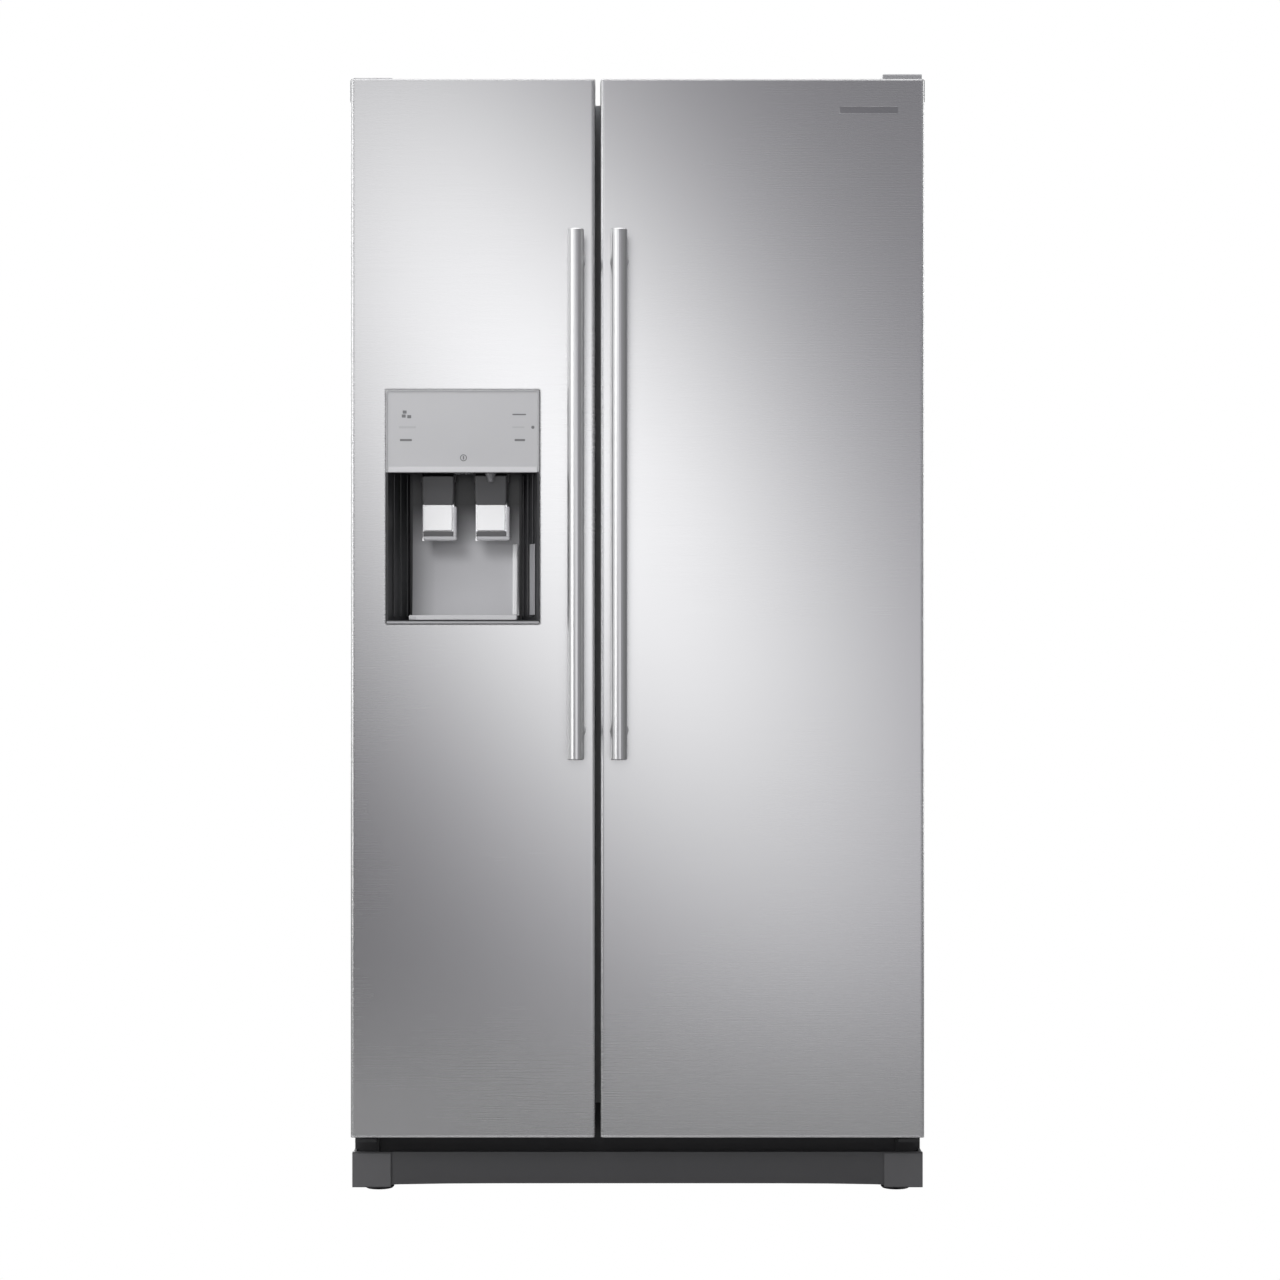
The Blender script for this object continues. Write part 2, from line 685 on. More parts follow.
def make_insulation():
    """The foamed body between the casing and the liners."""
    side, back = SHEET + FIT, BACK - BACK_SHEET - FIT
    foam = box(
        "cabinet_insulation",
        (LEFT + side, CABINET_FRONT + LINER + FIT, CASE_BOTTOM + FIT),
        (RIGHT - side, back, CASE_TOP - side),
        FOAM,
    )
    for left, right in ((FREEZER_LEFT, FREEZER_RIGHT), (FRIDGE_LEFT, FRIDGE_RIGHT)):
        grow = LINER + FIT
        outline = liner_outline(grow, CABINET_FRONT - PAST)
        cut(foam, slab(f"foam_cavity_{len(foam.modifiers)}", outline, "X", left - grow, right + grow))
    cut_box(foam, (LEFT - PAST, BACK - MACHINE_DEPTH, 0), (RIGHT + PAST, BACK + PAST, MACHINE_TOP))
    round_cut = slab(
        "foam_corners_outside",
        round_top(LEFT - PAST, RIGHT + PAST, CASE_BOTTOM - PAST, CASE_TOP + PAST, CASE_EDGE_RADIUS),
        "Y", CABINET_FRONT - PAST, BACK + PAST,
    )
    inside = round_top(
        LEFT + side, RIGHT - side, CASE_BOTTOM - 2 * PAST, CASE_TOP - side, CASE_EDGE_RADIUS - side
    )
    cut(round_cut, slab("foam_corners_inside", inside, "Y", CABINET_FRONT - 2 * PAST, BACK + 2 * PAST))
    cut(foam, round_cut)


def make_back_panel():
    """The rear sheet, with upright pressed grooves."""
    side, low, high = RIGHT - SHEET - FIT, MACHINE_TOP + FIT, CASE_TOP - SHEET - CASE_EDGE_RADIUS
    panel = box("back_panel", (-side, BACK - BACK_SHEET, low), (side, BACK, high), GALVANISED)
    pitch = 2 * (side - GROOVE_MARGIN) / (GROOVES - 1)
    for i in range(GROOVES):
        x = GROOVE_MARGIN - side + pitch * i
        cut_box(
            panel,
            (x - GROOVE_WIDTH / 2, BACK - GROOVE_DEPTH, low + GROOVE_MARGIN),
            (x + GROOVE_WIDTH / 2, BACK + PAST, high - GROOVE_MARGIN),
        )


def make_mullion_strip():
    """The steel strip on the front of the wall between the two cavities."""
    box(
        "mullion_strip",
        (GAP_X - MULLION_STRIP / 2, CABINET_FRONT, CAVITY_BOTTOM - LINER_MARGIN),
        (GAP_X + MULLION_STRIP / 2, CABINET_FRONT + SHEET, CASE_TOP - FLANGE - FIT),
        GALVANISED,
    )


# ---------------------------------------------------------------- chassis
def make_chassis():
    """The bottom frame: side rails, front beam, machine tray, blower wall and roller ears."""
    frame_top = CASE_BOTTOM - FIT
    back = CHASSIS_BACK
    side = RIGHT - SIDE_SETBACK
    frame = box(
        "chassis_frame", (-side, CABINET_FRONT, FRAME_BOTTOM), (side, back, frame_top), BLACK_STEEL
    )
    inner = side - FRAME_RAIL
    cut_box(
        frame,
        (-inner, CABINET_FRONT + FRONT_BEAM, FRAME_BOTTOM - PAST),
        (inner, BACK - MACHINE_DEPTH, frame_top + PAST),
    )
    cut_box(
        frame,
        (-inner, BACK - MACHINE_DEPTH - FRAME_RAIL, FRAME_BOTTOM + TRAY),
        (inner, BACK + PAST, frame_top + PAST),
    )
    join_box(
        frame,
        (LEFT + FLANGE + FIT, CABINET_FRONT, frame_top - FRONT_LIP),
        (RIGHT - FLANGE - FIT, CABINET_FRONT + SHEET, CAVITY_BOTTOM - LINER_MARGIN - FIT),
    )
    wall = BLOWER_X + BLOWER_WALL
    join_box(
        frame,
        (wall, BACK - MACHINE_DEPTH + 0.006, FRAME_BOTTOM + TRAY / 2),
        (wall + EAR, back - 0.006, MACHINE_TOP - 0.010),
    )
    cut_hole(frame, (wall - PAST, BLOWER_Y, BLOWER_Z), (wall + PAST, BLOWER_Y, BLOWER_Z), BLOWER_RADIUS)
    for height, depth in ((BLOWER_RADIUS, BLOWER_CROSS), (BLOWER_CROSS, BLOWER_RADIUS)):
        join_box(
            frame,
            (wall, BLOWER_Y - depth - BLOWER_OVERLAP, BLOWER_Z - height - BLOWER_OVERLAP),
            (wall + EAR, BLOWER_Y + depth + BLOWER_OVERLAP, BLOWER_Z + height + BLOWER_OVERLAP),
        )
    stub = BLOWER_X + BLOWER_HALF + FIT
    join_rod(frame, (stub, BLOWER_Y, BLOWER_Z), (wall + EAR / 2, BLOWER_Y, BLOWER_Z), BLOWER_STUB)
    condenser_right = CONDENSER_LEFT + CONDENSER_LENGTH
    half = CONDENSER_EAR_HALF
    for x in (CONDENSER_LEFT + CONDENSER_EAR_INSET, condenser_right - CONDENSER_EAR_INSET):
        near = BLOWER_Y + CONDENSER_TUBE + FIT
        top = CONDENSER_ROWS_FROM + 2 * CONDENSER_BEND * (CONDENSER_PASSES - 1)
        join_box(frame, (x - half, near, FRAME_BOTTOM + TRAY / 2), (x + half, near + EAR, top))
    for x in (-FOOT_X, FOOT_X):
        foot_y = CABINET_FRONT + FOOT_SETBACK
        hole = STEM_RADIUS + PIN_CLEARANCE
        cut_hole(frame, (x, foot_y, FRAME_BOTTOM - PAST), (x, foot_y, frame_top + PAST), hole)
    axle_y = BACK - ROLLER_FROM_BACK
    for x in (-ROLLER_X, ROLLER_X):
        for sign in (-1, 1):
            near = ROLLER_WIDTH / 2 + EAR_GAP
            low, high = sorted((x + sign * near, x + sign * (near + EAR)))
            join_box(
                frame,
                (low, axle_y - EAR_HALF, ROLLER_RADIUS - EAR_DROP),
                (high, axle_y + EAR_HALF, FRAME_BOTTOM + TRAY / 2),
            )
        reach = ROLLER_WIDTH / 2 + EAR_GAP + EAR / 2
        join_rod(
            frame, (x - reach, axle_y, ROLLER_RADIUS), (x + reach, axle_y, ROLLER_RADIUS), AXLE_RADIUS, 16
        )


def make_kick():
    """The toe kick: a plate with a gently bowed lower edge, a leg cover at each end, and side returns."""
    side = RIGHT - SIDE_SETBACK
    lower = []
    for i in range(KICK_STEPS + 1):
        share = 2 * i / KICK_STEPS - 1
        drop = (KICK_BOTTOM_MIDDLE - KICK_BOTTOM_END) * share**KICK_BOW
        lower.append((share * side, KICK_BOTTOM_MIDDLE - drop))
    kick = slab(
        "toe_kick",
        lower + [(side, KICK_TOP), (-side, KICK_TOP)],
        "Y", KICK_FRONT, KICK_FRONT + KICK_THICKNESS, DARK_PLASTIC,
    )
    for sign in (-1, 1):
        outer, inner = sign * side, sign * (side - LEG_COVER_WIDTH)
        join_box(
            kick,
            (min(outer, inner), KICK_FRONT - LEG_COVER_PROUD, KICK_BOTTOM_END - LEG_COVER_EDGE),
            (max(outer, inner), KICK_FRONT + KICK_THICKNESS / 2, KICK_TOP - LEG_COVER_EDGE),
        )
        inner = sign * (side - KICK_THICKNESS)
        join_box(
            kick,
            (min(outer, inner), KICK_FRONT + KICK_THICKNESS / 2, KICK_BOTTOM_END),
            (max(outer, inner), CABINET_FRONT - FIT, KICK_TOP - 2 * LEG_COVER_EDGE),
        )


def make_foot(name, x):
    """A levelling foot: a round pad with a threaded stem that turns in the chassis."""
    y = CABINET_FRONT + FOOT_SETBACK
    profile = [
        (0, STEM_TOP),
        (STEM_RADIUS, STEM_TOP),
        (STEM_RADIUS, FOOT_PAD + 2 * FOOT_CONE),
        (FOOT_RADIUS * 0.55, FOOT_PAD + FOOT_CONE),
        (FOOT_RADIUS, FOOT_PAD),
        (FOOT_RADIUS, FOOT_CHAMFER),
        (FOOT_RADIUS - FOOT_CHAMFER, 0),
        (0, 0),
    ]
    turned(name, profile, (x, y, 0), DARK_PLASTIC, axis_empty(name + "_axis", (x, y, 0)))


def make_roller(name, x):
    """A rear roller on an axle between two ears of the chassis."""
    y = BACK - ROLLER_FROM_BACK
    half = ROLLER_WIDTH / 2
    hub = axis_empty(name + "_axis", (x, y, ROLLER_RADIUS))
    start, end = (x - half, y, ROLLER_RADIUS), (x + half, y, ROLLER_RADIUS)
    roller = rod(name, start, end, ROLLER_RADIUS, DARK_PLASTIC, hub, sides=32)
    bore = AXLE_RADIUS + PIN_CLEARANCE
    cut_hole(roller, (x - PAST, y, ROLLER_RADIUS), (x + PAST, y, ROLLER_RADIUS), bore)


# ---------------------------------------------------------------- hinges
def make_lower_hinge(name, x):
    """A bracket on the chassis front, with an arm under the door and a pin that points up."""
    half = HINGE_WIDTH / 2
    arm_top = DOOR_BOTTOM - LOWER_ARM_DROP
    inside = arm_top - LOWER_ARM / 2
    bracket = box(
        name,
        (x - half, HINGE_Y - HINGE_NOSE, arm_top - LOWER_ARM),
        (x + half, CABINET_FRONT - FIT, arm_top),
        BLACK_STEEL,
    )
    join_box(
        bracket,
        (x - half, CABINET_FRONT - FIT - LOWER_BACK, FRAME_BOTTOM + TRAY),
        (x + half, CABINET_FRONT - FIT, inside),
    )
    join_rod(bracket, (x, HINGE_Y, inside), (x, HINGE_Y, DOOR_BOTTOM - EAR_GAP), LOWER_COLLAR)
    join_rod(bracket, (x, HINGE_Y, arm_top), (x, HINGE_Y, DOOR_BOTTOM + PIN_DEPTH), HINGE_PIN_RADIUS)


def make_upper_hinge(name, x):
    """A plate on the casing's top that rises to an arm over the door, with a pin that points down."""
    half = HINGE_WIDTH / 2
    base, arm = CASE_TOP + FIT, DOOR_TOP + HINGE_ARM_LIFT
    nose, riser = HINGE_Y - HINGE_NOSE, CABINET_FRONT + UPPER_RISER
    outline = [
        (nose, arm),
        (riser, arm),
        (riser, base),
        (riser + UPPER_FOOT, base),
        (riser + UPPER_FOOT, base + HINGE_PLATE),
        (riser + HINGE_PLATE, base + HINGE_PLATE),
        (riser + HINGE_PLATE, arm + HINGE_PLATE),
        (nose, arm + HINGE_PLATE),
    ]
    plate = slab(name, outline, "X", x - half, x + half, GALVANISED)
    join_rod(plate, (x, HINGE_Y, DOOR_TOP - PIN_DEPTH), (x, HINGE_Y, arm + HINGE_PLATE / 2), HINGE_PIN_RADIUS)


def make_hinge_cover(name, sign, rise):
    """A plastic cover over an upper hinge, open underneath and stepped over the door."""
    outer = sign * (RIGHT - COVER_INSET)
    low, high = sorted((outer, outer - sign * COVER_WIDTH))
    top = DOOR_TOP + rise
    front = HINGE_Y - HINGE_NOSE - FIT - COVER_WALL
    back = CABINET_FRONT + COVER_BACK
    door_side = DOOR_TOP + COVER_LIFT
    outline = [
        (front, door_side),
        (CABINET_FRONT, door_side),
        (CABINET_FRONT, CASE_TOP + FIT),
        (back, CASE_TOP + FIT),
        (back, top - COVER_SLOPE),
        (back - COVER_SLOPE, top),
        (front + COVER_NOSE, top),
        (front, top - COVER_NOSE_DROP),
    ]
    cover = slab(name, outline, "X", low, high, CAP_PLASTIC)
    wall = COVER_WALL
    inside = [
        (front + wall, door_side - PAST),
        (CABINET_FRONT + wall, door_side - PAST),
        (CABINET_FRONT + wall, CASE_TOP - PAST),
        (back - wall, CASE_TOP - PAST),
        (back - wall, top - COVER_SLOPE - wall),
        (back - COVER_SLOPE - wall, top - wall),
        (front + wall, top - wall),
    ]
    cut(cover, slab(name + "_inside", inside, "X", low + wall, high - wall))


# ---------------------------------------------------------------- doors
def mirrored(sign, near, far):
    """Two distances from the cabinet's middle as an ordered pair of X values on one side."""
    return sorted((sign * near, sign * far))


def dyke_boxes(sign, cavity_hinge, cavity_free, extra=()):
    """Boxes (low, high) of a door liner's ribs, at their outer faces."""
    outer = cavity_hinge - sign * DYKE_GAP_HINGE
    inner = outer - sign * DYKE_WIDTH_HINGE
    free_outer = cavity_free + sign * DYKE_GAP_FREE
    free_inner = free_outer + sign * DYKE_WIDTH_FREE
    bottom, top = CAVITY_BOTTOM + DYKE_GAP_TOP, CAVITY_TOP - DYKE_GAP_TOP
    reach = DOOR_BACK + DYKE_DEPTH
    spans = [
        (outer, inner, bottom, top, reach),
        (free_outer, free_inner, bottom, top, reach),
        (outer, free_outer, bottom, bottom + DYKE_HEIGHT, reach),
        (outer, free_outer, top - DYKE_HEIGHT, top, reach),
        *extra,
    ]
    return [
        ((min(a, b), DOOR_BACK - LINER, low), (max(a, b), back, high)) for a, b, low, high, back in spans
    ]


def shrunk(low, high, by):
    """A rib's box with its four sides and its back moved in."""
    return (low[0] + by, low[1] - RIB_OVERLAP, low[2] + by), (high[0] - by, high[1] - by, high[2] - by)


def make_door(prefix, sign, left, right, cavity_hinge, cavity_free, hub, extra=()):
    """Skin, top cap, foam, liner and gasket of one door. Sign is +1 where the hinge is on the right."""
    cap_bottom = DOOR_TOP - CAP_HEIGHT
    skin = slab(
        prefix + "_skin",
        door_outline(left, right, DOOR_FRONT, DOOR_BACK, DOOR_EDGE_RADIUS),
        "Z", DOOR_BOTTOM, DOOR_TOP, STEEL, hub,
    )
    hollow = door_outline(
        left + SKIN, right - SKIN, DOOR_FRONT + SKIN, DOOR_BACK + PAST, DOOR_EDGE_RADIUS - SKIN
    )
    cut(skin, slab(prefix + "_hollow", hollow, "Z", DOOR_BOTTOM + SKIN, DOOR_TOP + PAST, parent=hub))
    hinge_x = hub.location.x
    pin_hole = HINGE_PIN_RADIUS + PIN_CLEARANCE
    below = (hinge_x, HINGE_Y, DOOR_BOTTOM - PAST)
    cut_hole(skin, below, (hinge_x, HINGE_Y, DOOR_BOTTOM + PAST), pin_hole)

    inset = SKIN + FIT
    filled = door_outline(
        left + inset, right - inset, DOOR_FRONT + inset, DOOR_BACK - LINER - FIT, DOOR_EDGE_RADIUS - inset
    )
    foam = slab(
        prefix + "_insulation", filled, "Z", DOOR_BOTTOM + inset, cap_bottom - FIT, FOAM, hub
    )
    cap = slab(prefix + "_top_cap", filled, "Z", cap_bottom, DOOR_TOP - CAP_DROP, CAP_PLASTIC, hub)
    outer = hinge_x + sign * HINGE_INSET
    notch = sorted((outer + sign * 2 * CAP_PROUD, outer - sign * NOTCH_DEPTH))
    ear = sorted((outer + sign * CAP_PROUD, outer - sign * EAR_THICKNESS))
    ear_front, ear_back = DOOR_FRONT + DOOR_EDGE_RADIUS + CAP_PROUD, DOOR_BACK - LINER - FIT
    notch_low = (notch[0], ear_front - FIT, cap_bottom - FIT)
    cut_box(skin, notch_low, (notch[1], DOOR_BACK + PAST, DOOR_TOP + PAST))
    join_box(cap, (ear[0], ear_front, cap_bottom), (ear[1], ear_back, DOOR_TOP - 2 * CAP_DROP))
    over_pin = PIN_DEPTH + 4 * PIN_CLEARANCE
    cut_hole(cap, (hinge_x, HINGE_Y, DOOR_TOP - over_pin), (hinge_x, HINGE_Y, DOOR_TOP + PAST), pin_hole)
    cut_hole(foam, below, (hinge_x, HINGE_Y, DOOR_BOTTOM + over_pin), pin_hole)

    liner = box(
        prefix + "_liner",
        (left + inset, DOOR_BACK - LINER, DOOR_BOTTOM + inset),
        (right - inset, DOOR_BACK, DOOR_TOP - CAP_DROP),
        WHITE_PLASTIC, hub,
    )
    ribs = dyke_boxes(sign, cavity_hinge, cavity_free, extra)
    for low, high in ribs:
        join_box(liner, low, high)
        join_box(foam, *shrunk(low, high, LINER + FIT))
    for low, high in ribs:
        cut_box(liner, *shrunk(low, high, LINER))
    make_gasket(prefix, sign, outer, hub)
    return skin, foam, liner


def make_gasket(prefix, sign, outer, hub):
    """The magnetic seal: a soft ring between the door's liner and the cabinet's face."""
    hinge_side = hub.location.x - sign * GASKET_PAST_HINGE
    free_edge = GAP_X + sign * (DOOR_GAP / 2 + GASKET_INSET_FREE)
    low, high = sorted((hinge_side, free_edge))
    top = CASE_TOP - GASKET_TOP_DROP
    ring = box(
        prefix + "_gasket",
        (low, DOOR_BACK + FIT, GASKET_BOTTOM),
        (high, CABINET_FRONT - FIT, top),
        GASKET_RUBBER, hub,
    )
    cut_box(
        ring,
        (low + GASKET_WIDTH, DOOR_BACK - PAST, GASKET_BOTTOM + GASKET_WIDTH),
        (high - GASKET_WIDTH, CABINET_FRONT + PAST, top - GASKET_WIDTH),
    )


def make_handle(name, sign, hub):
    """A round bar handle on two posts. Sign is +1 on the right door."""
    x = GAP_X + sign * (DOOR_GAP / 2 + HANDLE_OFFSET)
    y = FRONT + HANDLE_RADIUS
    top = HANDLE_BOTTOM + HANDLE_LENGTH
    bar = rod(name, (x, y, HANDLE_BOTTOM), (x, y, top), HANDLE_RADIUS, HANDLE_METAL, hub, sides=24)
    round_edges(bar, HANDLE_CHAMFER, 1)
    for z in (HANDLE_BOTTOM + HANDLE_POST_INSET, top - HANDLE_POST_INSET):
        join_rod(bar, (x, y, z), (x, DOOR_FRONT - FIT, z), HANDLE_POST_RADIUS, 16)


def make_bin(name, low_x, high_x, bottom, height, reach, hub):
    """An open-topped door bin between the liner's upright ribs."""
    front = DOOR_BACK + FIT
    back = DOOR_BACK + reach
    tray = box(name, (low_x, front, bottom), (high_x, back, bottom + height), CLEAR_PLASTIC, hub, 0.003)
    cut_box(
        tray,
        (low_x + BIN_WALL, front + BIN_WALL, bottom + BIN_WALL),
        (high_x - BIN_WALL, back - BIN_WALL, bottom + height + PAST),
    )


def make_freezer_door():
    left, right = LEFT + CAP_PROUD, GAP_X - DOOR_GAP / 2
    hub = axis_empty("freezer_door_axis", (left + HINGE_INSET, HINGE_Y, 0))
    bulge_low = FREEZER_LEFT + DYKE_GAP_HINGE + BULGE_SIDE
    bulge_high = FREEZER_RIGHT - DYKE_GAP_FREE - BULGE_SIDE
    bulge = [(bulge_low, bulge_high, BULGE_BOTTOM, BULGE_TOP, BULGE_BACK)]
    skin, foam, liner = make_door(
        "freezer_door", -1, left, right, FREEZER_LEFT, FREEZER_RIGHT, hub, bulge
    )
    make_dispenser(skin, foam, liner, hub)
    make_handle("freezer_door_handle", -1, hub)
    low = FREEZER_LEFT + DYKE_GAP_HINGE + DYKE_WIDTH_HINGE + BIN_GAP
    high = FREEZER_RIGHT - DYKE_GAP_FREE - DYKE_WIDTH_FREE - BIN_GAP
    for i, (share, height, reach) in enumerate(FREEZER_BINS):
        make_bin(f"freezer_door_bin_{i + 1}", low, high, up_cavity(share), height, reach, hub)


def make_fridge_door():
    left, right = GAP_X + DOOR_GAP / 2, RIGHT - CAP_PROUD
    hub = axis_empty("fridge_door_axis", (right - HINGE_INSET, HINGE_Y, 0))
    make_door("fridge_door", 1, left, right, FRIDGE_RIGHT, FRIDGE_LEFT, hub)
    make_handle("fridge_door_handle", 1, hub)
    low = FRIDGE_LEFT + DYKE_GAP_FREE + DYKE_WIDTH_FREE + BIN_GAP
    high = FRIDGE_RIGHT - DYKE_GAP_HINGE - DYKE_WIDTH_HINGE - BIN_GAP
    for i, (share, height, reach) in enumerate(FRIDGE_BINS):
        make_bin(f"fridge_door_bin_{i + 1}", low, high, up_cavity(share), height, reach, hub)


# ---------------------------------------------------------------- dispenser
def housing_plan(grow, front):
    """The dispenser housing seen from above: a straight rim, then sides that splay in to the niche's back."""
    wide = DISPENSER_WIDTH / 2 + grow
    narrow = NICHE_BACK_WIDTH / 2 + HOUSING_WALL + grow
    rim = DOOR_FRONT + HOUSING_RIM_DEPTH + max(grow, 0)
    back = DOOR_FRONT + NICHE_DEPTH + HOUSING_WALL + max(grow, 0)
    half = [(wide, front), (wide, rim), (narrow, back)]
    return [(DISPENSER_X + x, y) for x, y in half] + [(DISPENSER_X - x, y) for x, y in reversed(half)]


def make_dispenser(skin, foam, liner, hub):
    """The niche housing, control panel, levers and drip tray, and the pocket and ice chute in the door."""
    low, high = DISPENSER_X - DISPENSER_WIDTH / 2, DISPENSER_X + DISPENSER_WIDTH / 2
    bottom, top = DISPENSER_BOTTOM, DISPENSER_BOTTOM + DISPENSER_HEIGHT
    front = DOOR_FRONT - PANEL_PROUD
    cut_box(skin, (low, front - PAST, bottom), (high, DOOR_FRONT + PAST, top))
    outline = housing_plan(FIT, front - PAST)
    cut(foam, slab("dispenser_pocket", outline, "Z", bottom - FIT, top + FIT, parent=hub))
    housing = slab(
        "dispenser_housing", housing_plan(-FIT, front), "Z", bottom + FIT, top - FIT, DARK_PLASTIC, hub
    )
    mouth, rear = DISPENSER_WIDTH / 2 - HOUSING_RIM, NICHE_BACK_WIDTH / 2
    wide = mouth + (mouth - rear) / NICHE_DEPTH * (PAST + PANEL_PROUD)
    plan = [
        (DISPENSER_X - wide, front - PAST),
        (DISPENSER_X + wide, front - PAST),
        (DISPENSER_X + rear, DOOR_FRONT + NICHE_DEPTH),
        (DISPENSER_X - rear, DOOR_FRONT + NICHE_DEPTH),
    ]
    cut(housing, slab("niche", plan, "Z", bottom + NICHE_SILL, PANEL_BOTTOM, parent=hub))
    panel_back = front + PANEL_THICKNESS
    panel_foot = PANEL_BOTTOM - PANEL_OVERLAP
    cut_box(housing, (low - PAST, front - PAST, panel_foot), (high + PAST, panel_back, top + PAST))
    box(
        "control_panel",
        (low + FIT, front, panel_foot + FIT),
        (high - FIT, panel_back - FIT, top - FIT),
        PANEL_PLASTIC, hub, SMALL_BEVEL,
    )
    cut_chute(foam, liner, housing)
    for name, sign in (("ice_lever", -1), ("water_lever", 1)):
        make_lever(name, DISPENSER_X + sign * LEVER_PITCH / 2, housing, hub)
    make_drip_tray(bottom + NICHE_SILL, hub)


def cut_chute(foam, liner, housing):
    """The shaft from the top of the liner's bulge, with a slope down to a mouth in front of the ice lever."""
    left, right = CHUTE_X - CHUTE_WIDTH / 2, CHUTE_X + CHUTE_WIDTH / 2
    shaft_front = CHUTE_BACK - CHUTE_DEPTH
    mouth_front = DOOR_FRONT + CHUTE_MOUTH_FRONT
    mouth_back = mouth_front + CHUTE_MOUTH_DEPTH
    slope_top = PANEL_BOTTOM + CHUTE_SLOPE_TOP
    side_view = [
        (mouth_front, PANEL_BOTTOM - 0.001),
        (mouth_back, PANEL_BOTTOM - 0.001),
        (mouth_back, PANEL_BOTTOM + CHUTE_LIP_BACK),
        (CHUTE_BACK, slope_top),
        (CHUTE_BACK, BULGE_TOP + PAST),
        (shaft_front, BULGE_TOP + PAST),
        (shaft_front, slope_top),
        (mouth_front, PANEL_BOTTOM + CHUTE_LIP_FRONT),
    ]
    for piece in (foam, liner, housing):
        shaft = slab(piece.name + "_chute", side_view, "X", left, right, parent=piece.parent)
        cut(piece, shaft)


def make_lever(name, x, housing, door):
    """A dispenser lever: a flat paddle on a cross pin at the niche's ceiling, with a lip at its lower end."""
    hub = axis_empty(name + "_axis", (x, LEVER_Y, LEVER_Z), door)
    half, thick = LEVER_WIDTH / 2, LEVER_THICKNESS / 2
    paddle = box(
        name,
        (x - half, LEVER_Y - thick, LEVER_Z - LEVER_LENGTH),
        (x + half, LEVER_Y + thick, LEVER_Z),
        CHROME, hub,
    )
    join_box(
        paddle,
        (x - half, LEVER_Y - thick - LEVER_LIP, LEVER_Z - LEVER_LENGTH),
        (x + half, LEVER_Y, LEVER_Z - LEVER_LENGTH + LEVER_THICKNESS),
    )
    join_rod(paddle, (x - half, LEVER_Y, LEVER_Z), (x + half, LEVER_Y, LEVER_Z), LEVER_PIVOT_RADIUS, 16)
    cheek = half + PIN_CLEARANCE
    for sign in (-1, 1):
        low, high = sorted((x + sign * cheek, x + sign * (cheek + EAR)))
        join_box(
            housing,
            (low, LEVER_Y - CHEEK, LEVER_Z - CHEEK),
            (high, LEVER_Y + CHEEK, PANEL_BOTTOM + 0.001),
        )


def make_drip_tray(floor, hub):
    """A slotted tray on the niche's sill."""
    half = NICHE_BACK_WIDTH / 2 - TRAY_GAP
    front, back = DOOR_FRONT + TRAY_FRONT, DOOR_FRONT + NICHE_DEPTH - TRAY_GAP
    tray = box(
        "drip_tray",
        (DISPENSER_X - half, front, floor + FIT),
        (DISPENSER_X + half, back, floor + TRAY_HEIGHT),
        PANEL_PLASTIC, hub, SMALL_BEVEL,
    )
    pitch = 2 * half / (TRAY_SLOTS + 1)
    for i in range(TRAY_SLOTS):
        x = DISPENSER_X - half + pitch * (i + 1)
        cut_box(
            tray,
            (x - pitch * 0.3, front + TRAY_MARGIN, floor + TRAY_HEIGHT / 2),
            (x + pitch * 0.3, back - TRAY_MARGIN, floor + TRAY_HEIGHT + PAST),
        )


# ---------------------------------------------------------------- freezer and fridge fittings
def make_shelf(name, left, right, z, look, back=None):
    """A shelf plate with a raised front lip."""
    front = CABINET_FRONT + SHELF_FRONT
    back = DUCT_Y - SHELF_BACK_GAP if back is None else back
    low, high = left + FIT, right - FIT
    shelf = box(name, (low, front, z), (high, back, z + SHELF_THICKNESS), look)
    join_box(
        shelf,
        (low, front, z - SHELF_LIP / 3),
        (high, front + SHELF_LIP_DEPTH, z + SHELF_LIP * 2 / 3),
    )


def make_drawer(name, low_x, high_x, bottom, height, depth):
    """An open-topped sliding drawer with a grip edge on its front."""
    front = CABINET_FRONT + DRAWER_FRONT
    hub = axis_empty(name + "_slide", ((low_x + high_x) / 2, front, bottom))
    drawer = box(
        name, (low_x, front, bottom), (high_x, front + depth, bottom + height), CLEAR_PLASTIC, hub, 0.004
    )
    cut_box(
        drawer,
        (low_x + DRAWER_WALL, front + DRAWER_WALL * 2, bottom + DRAWER_WALL),
        (high_x - DRAWER_WALL, front + depth - DRAWER_WALL, bottom + height + PAST),
    )
    cut_box(
        drawer,
        ((low_x + high_x) / 2 - GRIP_HALF, front - PAST, bottom + height - GRIP_LOW),
        ((low_x + high_x) / 2 + GRIP_HALF, front + DRAWER_WALL, bottom + height - GRIP_HIGH),
    )


